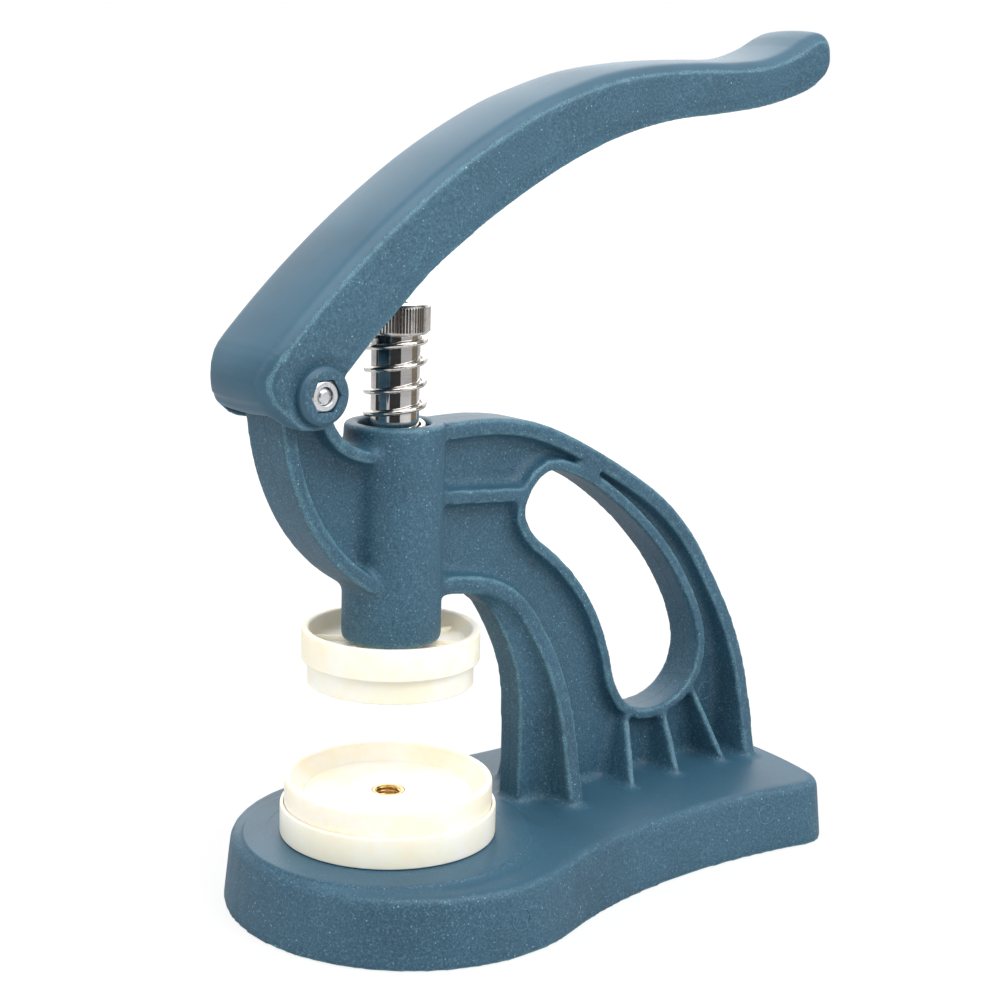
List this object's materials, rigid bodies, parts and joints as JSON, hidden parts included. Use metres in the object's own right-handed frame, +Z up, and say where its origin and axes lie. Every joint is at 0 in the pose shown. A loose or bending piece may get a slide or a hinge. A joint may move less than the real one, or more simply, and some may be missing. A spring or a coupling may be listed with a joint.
{
  "type": "button badge maker",
  "caption": "Bench hand press for pin-back button badges: moulded C-frame on a waisted base, curved lever, sprung spindle, round upper and lower dies.",
  "frame": {"origin": "middle of the underside of the whole box, on the bench", "axes": "+Z up, +X from the dies towards the rear where the lever's grip points, +Y to the left seen from the rear"},
  "size_m": [0.2734, 0.136, 0.3174],
  "materials": {
    "blue_moulding": "satin, fine spark-eroded grain",
    "ivory_plastic": "satin, slightly translucent",
    "chromed_rod": "polished",
    "nickel_knurl": "straight knurl",
    "spring_wire": "drawn wire, bright",
    "zinc_steel": "zinc plated",
    "brass": "machined"
  },
  "bodies": {
    "press_frame": {"frame": "blue_moulding", "lower_die_holder": "ivory_plastic", "lower_die_insert": "brass", "die_bolt": "zinc_steel", "die_washer": "zinc_steel"},
    "lever_arm": {"lever": "blue_moulding", "pivot_bolt": "zinc_steel", "pivot_nut": "zinc_steel"},
    "ram": {"spindle": "chromed_rod", "spindle_head": "nickel_knurl", "return_spring": "spring_wire", "upper_die_cup": "ivory_plastic", "upper_die_insert": "brass"},
    "ram_pad": {"upper_die_pad": "ivory_plastic", "upper_pad_spring_1": "spring_wire", "upper_pad_spring_2": "spring_wire", "upper_pad_spring_3": "spring_wire"},
    "die_sleeve": {"lower_die_sleeve": "ivory_plastic", "sleeve_spring_1": "spring_wire", "sleeve_spring_2": "spring_wire", "sleeve_spring_3": "spring_wire", "sleeve_spring_4": "spring_wire"}
  },
  "joints": [
    {"name": "lever_pivot", "type": "hinge", "parent": "press_frame", "child": "lever_arm", "pos_m": [-0.11326, 0, 0.192], "axis": [0, 1, 0], "range_deg": [0, 45.8]},
    {"name": "ram_slide", "type": "slide", "parent": "press_frame", "child": "ram", "axis": [0, 0, -1], "range_m": [0, 0.0356], "stiffness_N_per_m": 900, "springref_m": -0.02, "deforming": ["return_spring"]},
    {"name": "pad_slide", "type": "slide", "parent": "ram", "child": "ram_pad", "axis": [0, 0, 1], "range_m": [0, 0.003], "stiffness_N_per_m": 1500, "springref_m": -0.003, "deforming": ["upper_pad_spring_1", "upper_pad_spring_2", "upper_pad_spring_3"]},
    {"name": "sleeve_slide", "type": "slide", "parent": "press_frame", "child": "die_sleeve", "axis": [0, 0, -1], "range_m": [0, 0.0035], "stiffness_N_per_m": 2000, "springref_m": -0.003, "deforming": ["sleeve_spring_1", "sleeve_spring_2", "sleeve_spring_3", "sleeve_spring_4"]}
  ],
  "couplings": [
    {"joint": "ram_slide", "follows": "lever_pivot", "m_per_rad": 0.0445}
  ]
}
